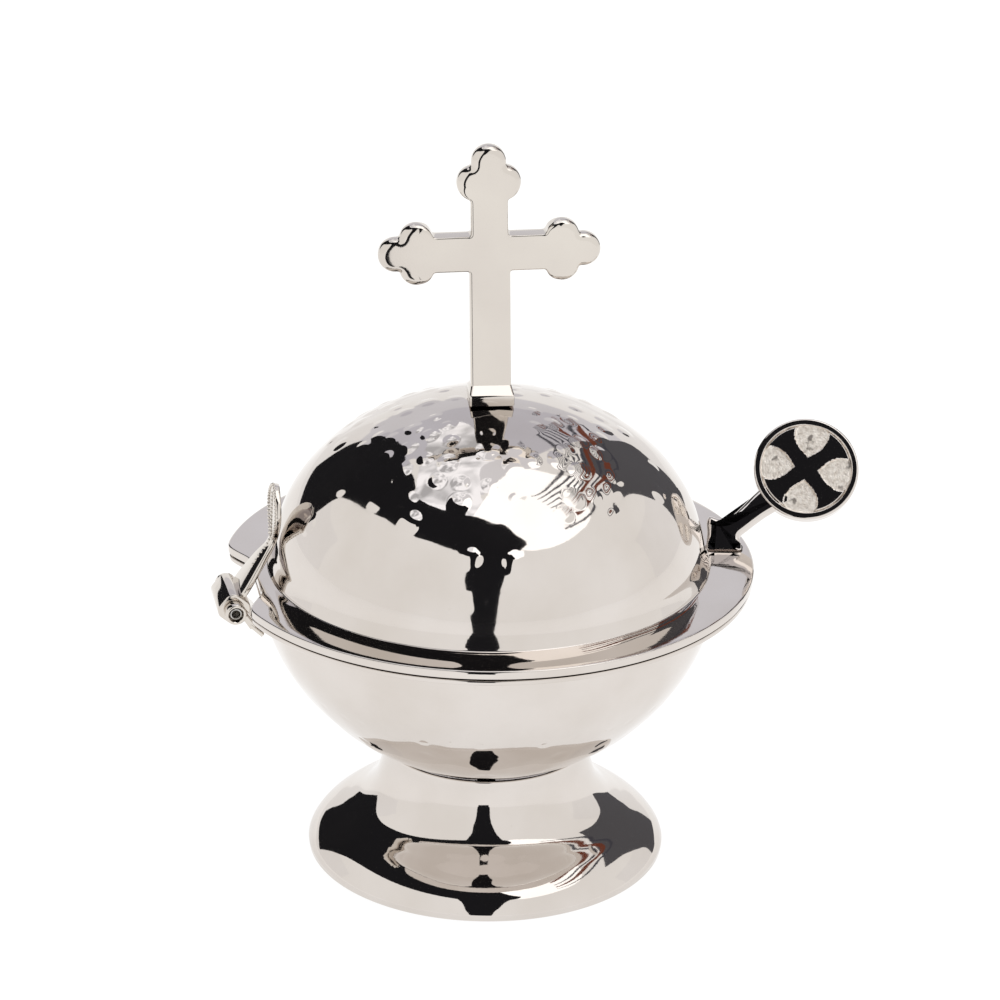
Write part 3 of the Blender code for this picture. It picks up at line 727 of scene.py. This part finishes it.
def bar_along(name, profile, columns, bore=True):
    """A ring or bar about the pin's line: profile pairs are (radius, v)."""
    rows = []
    for radius, v in profile:
        places = [(PIN_U + radius * cos(a), PIN_Z + radius * sin(a)) for a in turns(columns)]
        rows.append([hinge_point(u, v, z) for u, z in places])
    return shell(name, rows, ring=bore)


def band(name, stations, thick, edge):
    """A flat band along a smooth line of (u, z, half width) stations, with rounded edges."""
    line = smooth(stations, 12)
    flat = line[:, :2]
    sides = offset(flat, 1.0) - flat
    loops = []
    for (u, z, half), (out_u, out_z) in zip(line, sides):
        section = rounded_box(half, thick / 2, edge, 4)
        loops.append([hinge_point(u + out_u * t, v, z + out_z * t) for v, t in section])
    return loft(name, loops)


def bead(name, place, radius):
    """A small ball of a beaded edge."""
    columns = 12
    angles = turns(columns)
    rows = []
    for tilt in np.linspace(-pi / 2, pi / 2, 8):
        flat = radius * cos(tilt)
        level = place + UP * radius * sin(tilt)
        rows.append([level + Vector((cos(a), sin(a), 0)) * flat for a in angles])
    return shell(name, rows, ring=False)


def leaf_beads():
    """The beaded edge on the outer face of the strap's leaf, and the beads up its middle."""
    path = smooth(STRAP_STATIONS, 16) * MM
    line = path[path[:, 1] > LEAF_START_Z]
    pieces = []
    for side in (-1, 1):
        rim = np.column_stack([line[:, 0] + STRAP_T / 2, side * (line[:, 2] - BEAD_INSET), line[:, 1]])
        lengths = np.r_[0, np.cumsum(np.linalg.norm(np.diff(rim, axis=0), axis=1))]
        count = round(lengths[-1] / BEAD_EVERY[0])
        for at in lengths[-1] * np.arange(count + 1) / count:
            u, v, z = (np.interp(at, lengths, rim[:, i]) for i in range(3))
            pieces.append(bead("bead", hinge_point(u - 0.05 * MM, v, z), BEAD_RADIUS[0]))
    for z in np.arange(70.5 * MM, line[-1, 1] - 1.5 * MM, BEAD_EVERY[1]):
        u = np.interp(z, path[:, 1], path[:, 0]) + STRAP_T / 2
        pieces.append(bead("bead", hinge_point(u - 0.02 * MM, 0, z), BEAD_RADIUS[1]))
    return pieces


def make_strap(finish):
    section = ring_profile(BORE_R, KNUCKLE_R, -KNUCKLE_HALF, KNUCKLE_HALF, KNUCKLE_EDGE)
    knuckle = bar_along("knuckle", section, 72)
    middle = hinge_point(PIN_U, 0, PIN_Z)
    # It was hammered flat on four sides, where the strap was folded round the pin.
    for vert in knuckle.data.vertices:
        away = vert.co - middle
        u, z = away.dot(OUT), away.z
        radius = hypot(u, z)
        if radius > (BORE_R + KNUCKLE_R) / 2:
            angle = atan2(z, u) - KNUCKLE_TURN
            square = KNUCKLE_FLAT / (cos(angle) ** 4 + sin(angle) ** 4) ** 0.25
            vert.co += (OUT * u + UP * z) * (min(1.0, square) - 1)
    stations = [(u * MM, z * MM, half * MM) for u, z, half in STRAP_STATIONS]
    strip = band("strap", stations, STRAP_T, STRAP_EDGE)
    strap = join("hinge_strap_cast", [knuckle, strip, *leaf_beads()])
    return dress(strap, "lid", "hinge_strap", finish)


def make_leaf(finish):
    """A strip from the bowl's wall to two ears that hold the pin."""
    (wall_u, wall_z), (inner_u, inner_z) = np.array(LEAF_ENDS) * MM
    half = EAR_V[1]
    middle_u, middle_z = (wall_u + inner_u) / 2, (wall_z + inner_z) / 2
    strip = [(wall_u, wall_z, half), (middle_u, middle_z, half), (inner_u, inner_z, half)]
    pieces = [band("leaf", strip, LEAF_T, LEAF_EDGE)]
    for side in (-1, 1):
        low, high = sorted((side * EAR_V[0], side * EAR_V[1]))
        pieces.append(bar_along("ear", ring_profile(BORE_R, EAR_R, low, high, EAR_EDGE), 48))
        middle = (low + high) / 2
        line = [
            (inner_u - 0.6 * MM, inner_z - 0.6 * MM, EAR_ARM_HALF),
            ((inner_u + PIN_U - EAR_R) / 2, (inner_z + PIN_Z) / 2 - 0.4 * MM, EAR_ARM_HALF),
            (PIN_U - 1.9 * MM, PIN_Z - 0.6 * MM, EAR_ARM_HALF),
        ]
        arm = band("ear_arm", line, EAR_ARM_T, 0.4 * MM)
        for vert in arm.data.vertices:
            vert.co += ALONG * middle
        pieces.append(arm)
    return dress(join("hinge_leaf_cast", pieces), "stand", "hinge_leaf", finish)


def make_pin(finish):
    """A pin with a shallow cup drilled in each end, where it was spread to hold."""
    cup = [(0, 3.6), (0.6, 3.5), (0.86, 3.0), (0.9, 1.5), (0.92, 0.12), (1.0, 0.02)]
    end = [(r * MM, PIN_HALF - d * MM) for r, d in cup]
    end += [(PIN_R - 0.1 * MM, PIN_HALF - 0.05 * MM), (PIN_R, PIN_HALF - 0.25 * MM)]
    profile = end + [(r, -v) for r, v in reversed(end)]
    pin = bar_along("hinge_pin_turned", profile, 40, bore=False)
    return dress(pin, "stand", "hinge_pin", finish)


# ---- fasteners


NUT_SINK = 0.45 * MM
THREAD_PITCH = 0.7 * MM
THREAD_DEPTH = 0.24 * MM
SHANK_END = 0.02 * MM
SCREW_SHANK_R = 1.9 * MM
SCREW_HEAD_R = 3.9 * MM
SCREW_HEAD_RISE = 2.2 * MM
SLOT_HALF = 0.45 * MM
SLOT_FLOOR = 0.9 * MM
HEAD_OUTLINE = [(3.98, 0.05), (4.0, 0.7), (3.6, 1.35), (2.6, 1.85), (1.3, 2.12), (0.2, 2.2)]


def make_washer(node, body, finish):
    low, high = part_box(node)
    outer = (high.x - low.x) / 2
    inner = HOLE_R
    edge = 0.15 * MM
    section = np.vstack([
        arc((outer - edge, high.z - edge), edge, pi / 2, 0, 4),
        arc((outer - 2 * edge, low.z + 2 * edge), 2 * edge, 0, -pi / 2, 5),
        [(inner + edge, low.z), (inner, low.z + edge), (inner, high.z - edge), (inner + edge, high.z)],
    ])
    return dress(shell(node + "_turned", turned_rows(section, 64)), body, node, finish)


def make_nut(node, body, finish):
    """A hexagon nut with its corners chamfered and its bore countersunk."""
    low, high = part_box(node)
    corner = (high.x - low.x) / 2
    flat = corner * cos(pi / 6)
    columns = 120
    angles = turns(columns)
    hexagon = flat / np.cos((angles + pi / 6) % (pi / 3) - pi / 6)
    slant = tan(radians(60))
    face = flat - 0.15 * MM
    levels = np.linspace(0, (corner - flat) / slant + 0.05 * MM, 7)
    chamfer = [(np.minimum(hexagon, face + d * slant), d) for d in levels]
    rows = [(r, high.z - d) for r, d in chamfer] + [(r, low.z + d) for r, d in chamfer[::-1]]
    rows += [(HOLE_R + NUT_SINK, low.z), (HOLE_R, low.z + NUT_SINK)]
    rows += [(HOLE_R, high.z - NUT_SINK), (HOLE_R + NUT_SINK, high.z)]
    grid = [about_axis(r, z, angles) for r, z in rows]
    return dress(shell(node + "_cut", grid, sharp=25), body, node, finish)


def threaded(low, high, radius, columns):
    """Rows of a threaded shank between two heights, its thread fading in at both ends."""
    angles = turns(columns)
    rows = []
    for z in np.linspace(low, high, round((high - low) / THREAD_PITCH * 8)):
        phase = (z / THREAD_PITCH + angles / (2 * pi)) % 1
        ends = ramp(min(z - low, high - z), 0, 0.4 * MM)
        r = radius - THREAD_DEPTH * (1 - ends) - THREAD_DEPTH * ends * np.abs(2 * phase - 1)
        rows.append(about_axis(r, z, angles))
    return rows


def pole(z, columns):
    return turned_rows([(0, z)], columns)[0]


def make_screw(finish):
    """A round-headed screw with a slot across its head."""
    low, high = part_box("foot_screw")
    columns = 72
    head_low = high.z - SCREW_HEAD_RISE
    rows = [pole(low.z, columns), *threaded(low.z + SHANK_END, head_low, SCREW_SHANK_R, columns)]
    rows += [*turned_rows([(2.4 * MM, head_low), (SCREW_HEAD_R, head_low)], columns)]
    for r, h in smooth(HEAD_OUTLINE, 6) * MM:
        ring = turned_rows([(r, head_low + h)], columns)[0]
        in_slot = ramp(SLOT_HALF, np.abs(ring[:, 1]), 0.08 * MM) * ramp(SCREW_HEAD_R, r, 0.5 * MM)
        ring[:, 2] -= in_slot * max(h - SLOT_FLOOR, 0)
        rows.append(ring)
    rows.append(pole(head_low + SLOT_FLOOR, columns))
    screw = shell("foot_screw_turned", rows, ring=False, sharp=30)
    return dress(screw, "stand", "foot_screw", finish)


def make_stud(finish):
    low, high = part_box("cross_stud")
    columns = 60
    shank = threaded(low.z + SHANK_END, high.z - SHANK_END, (high.x - low.x) / 2, columns)
    rows = [pole(low.z, columns), *shank, pole(high.z, columns)]
    stud = shell("cross_stud_turned", rows, ring=False, sharp=30)
    return dress(stud, "lid", "cross_stud", finish)


# ---- finishes


class Graph:
    """Short names for a material's nodes."""

    def __init__(self, name):
        self.material = bpy.data.materials.new(name)
        self.material.use_nodes = True
        self.tree = self.material.node_tree
        self.shader = self.tree.nodes["Principled BSDF"]
        self.place = self.node("TexCoord").outputs["Object"]

    def link(self, source, target):
        self.tree.links.new(source, target)

    def node(self, kind, **values):
        made = self.tree.nodes.new("ShaderNode" + kind)
        for label, value in values.items():
            made.inputs[label].default_value = value
        return made

    def set(self, label, value):
        self.shader.inputs[label].default_value = value

    def stretched(self, scale):
        node = self.node("Mapping", Scale=scale)
        self.link(self.place, node.inputs["Vector"])
        return node.outputs["Vector"]

    def noise(self, scale, detail=3.0, where=None):
        node = self.node("TexNoise", Scale=scale, Detail=detail)
        self.link(where or self.place, node.inputs["Vector"])
        return node.outputs["Fac"]

    def spread(self, source, low, high, first, last):
        """Maps low..high to first..last, held at both ends."""
        limits = {"From Min": low, "From Max": high, "To Min": first, "To Max": last}
        node = self.node("MapRange", **limits)
        self.link(source, node.inputs["Value"])
        return node.outputs["Result"]

    def sum(self, operation, a, b):
        node = self.node("Math")
        node.operation = operation
        for socket, value in zip(node.inputs, (a, b)):
            if isinstance(value, (int, float)):
                socket.default_value = value
            else:
                self.link(value, socket)
        return node.outputs[0]

    def blend(self, factor, a, b):
        node = self.node("Mix")
        node.data_type = "RGBA"
        colours = [socket for socket in node.inputs if socket.type == "RGBA"]
        for socket, value in zip(colours, (a, b)):
            if isinstance(value, tuple):
                socket.default_value = (*value, 1)
            else:
                self.link(value, socket)
        self.link(factor, node.inputs["Factor"])
        return next(out for out in node.outputs if out.type == "RGBA")

    def attribute(self, name):
        node = self.node("Attribute")
        node.attribute_name = name
        return node.outputs["Fac"]

    def bump(self, height, distance):
        node = self.node("Bump", Strength=1.0, Distance=distance)
        self.link(height, node.inputs["Height"])
        self.link(node.outputs["Normal"], self.shader.inputs["Normal"])

    def metal(self, colour, roughness):
        self.set("Metallic", 1.0)
        self.link(colour, self.shader.inputs["Base Color"])
        self.link(roughness, self.shader.inputs["Roughness"])
        return self.material


NICKEL = (0.7, 0.655, 0.62)
NICKEL_CAST = (0.69, 0.645, 0.59)
NICKEL_DULL = (0.63, 0.58, 0.535)
BRIGHT_ARM, DULL_ARM = (0.71, 0.665, 0.63), (0.64, 0.59, 0.55)
PALE_RECESS, BRIGHT_RECESS, RECESS_SPECK = (0.68, 0.61, 0.54), (0.95, 0.89, 0.82), (0.16, 0.14, 0.125)
STEEL_BRIGHT, STEEL_STAIN = (0.6, 0.59, 0.57), (0.36, 0.34, 0.31)
BRASS_STRAW, BRASS_BROWN, SOOT = (0.82, 0.6, 0.28), (0.34, 0.18, 0.08), (0.03, 0.027, 0.025)
HEATED_RISE = 16 * MM  # how far up the cup the heat's marks reach


def nickel(name, clean=NICKEL, gloss=0.03):
    """Bright nickel plate: faintly cloudy, with hair scratches too fine to blur what it mirrors."""
    g = Graph(name)
    cloud = g.spread(g.noise(45, 4), 0.35, 0.75, 0, 1)
    specks = g.spread(g.noise(900, 2), 0.68, 0.8, 0, 0.5)
    colour = g.blend(g.sum("MAXIMUM", cloud, specks), clean, NICKEL_DULL)
    hair = g.noise(260, 5, g.stretched((1, 1, 14)))
    rough = g.sum("ADD", g.spread(cloud, 0, 1, gloss, gloss * 2.2), g.spread(hair, 0.6, 0.75, 0, 0.035))
    g.bump(g.noise(420, 3), 0.006 * MM)
    return g.metal(colour, rough)


def cast_nickel():
    """The lifter's plate: mirror-bright, but pale and granular in the medallion's recesses."""
    g = Graph("nickel_cast")
    sunk = g.attribute("recess")
    grain = g.noise(1100, 4)
    pale = g.blend(g.spread(grain, 0.3, 0.6, 0, 1), PALE_RECESS, BRIGHT_RECESS)
    dark_specks = g.spread(g.noise(430, 4), 0.585, 0.67, 0, 0.8)
    pale = g.blend(dark_specks, pale, RECESS_SPECK)
    cloud = g.spread(g.noise(60, 4), 0.35, 0.75, 0, 1)
    bright = g.blend(cloud, BRIGHT_ARM, DULL_ARM)
    colour = g.blend(sunk, bright, pale)
    hair = g.spread(g.noise(260, 5), 0.6, 0.75, 0, 0.04)
    rough = g.sum("ADD", g.spread(sunk, 0.1, 0.9, 0.035, 0.48), hair)
    g.bump(g.sum("MULTIPLY", sunk, grain), 0.05 * MM)
    return g.metal(colour, rough)


def steel():
    g = Graph("steel_turned")
    lines = g.noise(900, 4, g.stretched((0.3, 0.3, 4)))
    stain = g.spread(g.noise(300, 5), 0.45, 0.7, 0, 1)
    colour = g.blend(stain, STEEL_BRIGHT, STEEL_STAIN)
    rough = g.sum("ADD", g.spread(lines, 0.3, 0.7, 0.2, 0.36), g.sum("MULTIPLY", stain, 0.18))
    g.bump(lines, 0.01 * MM)
    return g.metal(colour, rough)


def brass():
    """Spun brass that has been heated: straw to brown blooms, and a matt black floor where charcoal lay."""
    g = Graph("brass_spun")
    split = g.node("SeparateXYZ")
    g.link(g.place, split.inputs["Vector"])
    low_part = g.spread(split.outputs["Z"], CUP_LOW.z, CUP_LOW.z + HEATED_RISE, 1, 0)
    heat = g.spread(g.sum("ADD", low_part, g.noise(70, 5)), 0.6, 1.3, 0, 1)
    colour = g.blend(heat, BRASS_STRAW, BRASS_BROWN)
    sooty = g.spread(g.sum("ADD", low_part, g.noise(190, 5)), 1.2, 1.5, 0, 0.9)
    colour = g.blend(sooty, colour, SOOT)
    rings = g.noise(240, 2, g.stretched((0.05, 0.05, 6)))
    rough = g.sum("ADD", g.spread(rings, 0.3, 0.7, 0.16, 0.3), g.sum("MULTIPLY", sooty, 0.5))
    g.bump(rings, 0.01 * MM)
    return g.metal(colour, rough)


def dress(piece, body, node, finish):
    """Puts a finish on a piece that stands for a CAD node and rides on its body."""
    piece.data.materials.clear()
    piece.data.materials.append(finish)
    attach(piece, body)
    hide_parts(node)
    return piece


# ---- studio


CENTRE = AXIS + UP * 62 * MM
CARD_LOW = -2  # degrees: below this a card comes nearer, so that it stays over the floor
CARD_FLOOR = 4 * MM
FLOOR_HALF = 3.0
BLACK = (0.012, 0.012, 0.014)
GREY = (0.09, 0.09, 0.1)
SLATE = (0.06, 0.06, 0.075)
RUST = (0.16, 0.05, 0.03)
WHITE = (1, 1, 1)
# Cards that mirror as the photo's room does: stations of (degrees round, degrees up) at the card's
# one edge, then at its other, then its colour, its distance, its glow and how much the glow varies.
CARDS = {
    "arch": ([
        (-152, 2, -128, 2), (-152, 22, -124, 10), (-146, 44, -116, 30), (-128, 56, -100, 41),
        (-100, 63, -80, 47), (-70, 68, -55, 50), (-35, 70, -30, 51), (0, 70, 0, 50),
        (17, 69, 16, 50), (27, 60, 26, 51), (32, 55, 31, 53),
    ], BLACK, 1.5),
    "post": ([
        (-24, 53, 24, 53), (-18, 46, 16, 46), (-14, 38, 11, 38), (-12, 25, 7, 25),
        (-9.5, 10, 5, 10), (-8, -2, 4, -2), (-7, -8, 3, -8), (-7, -14, 3, -14),
    ], BLACK, 1.5),
    "side": ([(129, -4, 150, -4), (129, 14, 152, 12), (122, 30, 150, 34), (108, 40, 140, 46)], GREY, 1.55),
    "umbrella": ([
        (-170, 40, -185, 72), (-140, 56, -140, 84), (-105, 62, -100, 87), (-70, 66, -60, 87),
        (-35, 68, -25, 86), (0, 68, 5, 82),
    ], (0.95, 0.96, 1.0), 1.75, 1.0, (0.6, 1.4)),
    "top": ([
        (-14, 67, -10, 89), (6, 60, 20, 89), (24, 52, 60, 89), (35, 49, 70, 89),
        (70, 48, 90, 89), (95, 50, 120, 89), (125, 60, 160, 89),
    ], WHITE, 1.6, 1.7),
    "over": ([(140, 60, 100, 88), (180, 62, 180, 90), (225, 60, 260, 88)], (0.8, 0.8, 0.84), 1.8, 1.1),
    "wall": ([
        (150, 64, 150, 30), (180, 66, 180, 30), (205, 62, 205, 30), (225, 50, 225, 28),
    ], (0.66, 0.66, 0.73), 1.9, 1.0),
    "haze": ([(140, 18, 140, 34), (180, 18, 180, 34), (226, 18, 226, 32)], (0.78, 0.78, 0.83), 1.92, 1.0),
    "sides": ([
        (96, -1, 96, 24), (140, -1, 140, 24), (180, -1, 180, 24), (240, -1, 240, 24), (262, 0, 262, 20),
    ], (0.97, 0.965, 0.965), 1.95, 1.02),
    "backdrop": ([(162, 2, 162, 17), (180, 2, 180, 17), (200, 2, 200, 17)], WHITE, 1.85, 1.05),
}
STRIPES = 9
STRIPE_LIFT = 2.9
STRIPE_AWAY = 1.45


def towards(azimuth, rise, away):
    """A point of a studio card, by degrees round from the camera's side and degrees above level."""
    a, e = radians(azimuth), radians(rise)
    way = Vector((sin(a) * cos(e), -cos(a) * cos(e), sin(e)))
    if rise < CARD_LOW:
        away = min(away, (CENTRE.z - CARD_FLOOR) / -way.z)
    return CENTRE + way * away


def matt(name, roughness=0.9):
    """A finish without any gloss of its own."""
    g = Graph(name)
    g.set("Roughness", roughness)
    g.set("Specular IOR Level", 0)
    return g


def card(name, stations, colour, away, glow=0.0, clouds=None):
    """A card that only mirror-bright surfaces see."""
    rows = []
    for a_az, a_el, b_az, b_el in smooth(stations, 8):
        shares = np.linspace(0, 1, 11)
        rows.append([towards(a_az * (1 - t) + b_az * t, a_el * (1 - t) + b_el * t, away) for t in shares])
    made = sheet(name, rows)
    g = matt(name)
    g.set("Base Color", (0, 0, 0, 1) if glow else (*colour, 1))
    if glow:
        g.set("Emission Color", (*colour, 1))
        g.set("Emission Strength", glow)
    if clouds:
        g.link(g.spread(g.noise(3.2, 2), 0.38, 0.58, *clouds), g.shader.inputs["Emission Strength"])
    made.data.materials.append(g.material)
    made.visible_camera = False
    made.visible_diffuse = False
    made.visible_shadow = False


def build_studio():
    for name, about in CARDS.items():
        card("studio_" + name, *about)
    for k in range(STRIPES):
        lift = STRIPE_LIFT * k
        rust = k in (1, 3)
        thick = 1.9 if rust else 1.1
        stripe = [
            (66 + 3 * k, 52 + lift, 66 + 3 * k, 52 + thick / 2 + lift),
            (105, 46 + lift, 105, 46 + thick + lift),
            (135, 34 + lift, 135, 34 + thick + lift),
            (165, 24 + lift, 165, 24 + thick + lift),
        ]
        card(f"studio_stripe_{k}", stripe, RUST if rust else SLATE, STRIPE_AWAY)
    lamp = bpy.data.lights.new("studio_overhead", "AREA")
    lamp.shape = "DISK"
    lamp.size = 1.2
    lamp.energy = 9
    overhead = add_object("studio_overhead", lamp)
    overhead.location = CENTRE + Vector((0.1, -0.2, 1.6))
    overhead.visible_glossy = False
    world = bpy.data.worlds.new("studio_world")
    world.use_nodes = True
    sky = world.node_tree.nodes["Background"]
    sky.inputs["Color"].default_value = (1.0, 0.995, 0.985, 1)
    sky.inputs["Strength"].default_value = 1.04
    scene.world = world


def build_floor():
    spots = np.linspace(-FLOOR_HALF, FLOOR_HALF, 9)
    floor = sheet("floor", [[(x, y, 0) for x in spots] for y in spots])
    g = matt("floor_paper", 0.85)
    paper = g.blend(g.noise(6, 3), (0.17, 0.168, 0.165), (0.14, 0.139, 0.138))
    g.link(paper, g.shader.inputs["Base Color"])
    g.set("Emission Color", (1, 1, 1, 1))
    g.set("Emission Strength", 0.9)
    floor.data.materials.append(g.material)


def build_camera():
    """The camera that fits the photo: aimed a little beside and above a focus on the body's axis."""
    distance, rise, roll = 0.9, radians(24.09), radians(0.75)
    shift_right, shift_up = 2.35 * MM, 20.1 * MM
    focus = AXIS + UP * 60 * MM
    back = Vector((0, -cos(rise), sin(rise)))
    eye = focus + back * distance
    aim = focus + Vector((shift_right, 0, 0)) + back.cross(Vector((1, 0, 0))) * shift_up
    back = (eye - aim).normalized()
    right = UP.cross(back).normalized()
    up = back.cross(right)
    right, up = right * cos(roll) + up * sin(roll), up * cos(roll) - right * sin(roll)
    camera = bpy.data.cameras.new("camera")
    camera.lens = 148.9
    camera.sensor_width = 36
    camera.clip_end = 20
    made = add_object("camera", camera)
    made.matrix_world = Matrix.Translation(eye) @ Matrix((right, up, back)).transposed().to_4x4()
    bpy.context.scene.camera = made


build_camera()
build_floor()
build_studio()

HAMMERED = nickel("nickel_hammered")
SPUN = nickel("nickel_spun", gloss=0.025)
CAST = nickel("nickel_polished_cast", clean=NICKEL_CAST, gloss=0.035)
STEEL = steel()

make_foot(SPUN)
make_bowl(HAMMERED)
make_lid(HAMMERED)
make_cross(CAST)
make_lifter(cast_nickel())
make_strap(CAST)
make_leaf(CAST)
make_pin(STEEL)
make_cup(brass())
make_screw(STEEL)
make_stud(STEEL)
make_washer("foot_washer", "stand", STEEL)
make_washer("cross_washer", "lid", STEEL)
make_nut("foot_nut", "stand", STEEL)
make_nut("cross_nut", "lid", STEEL)

scene.view_settings.view_transform = "Standard"
scene.view_settings.look = "None"
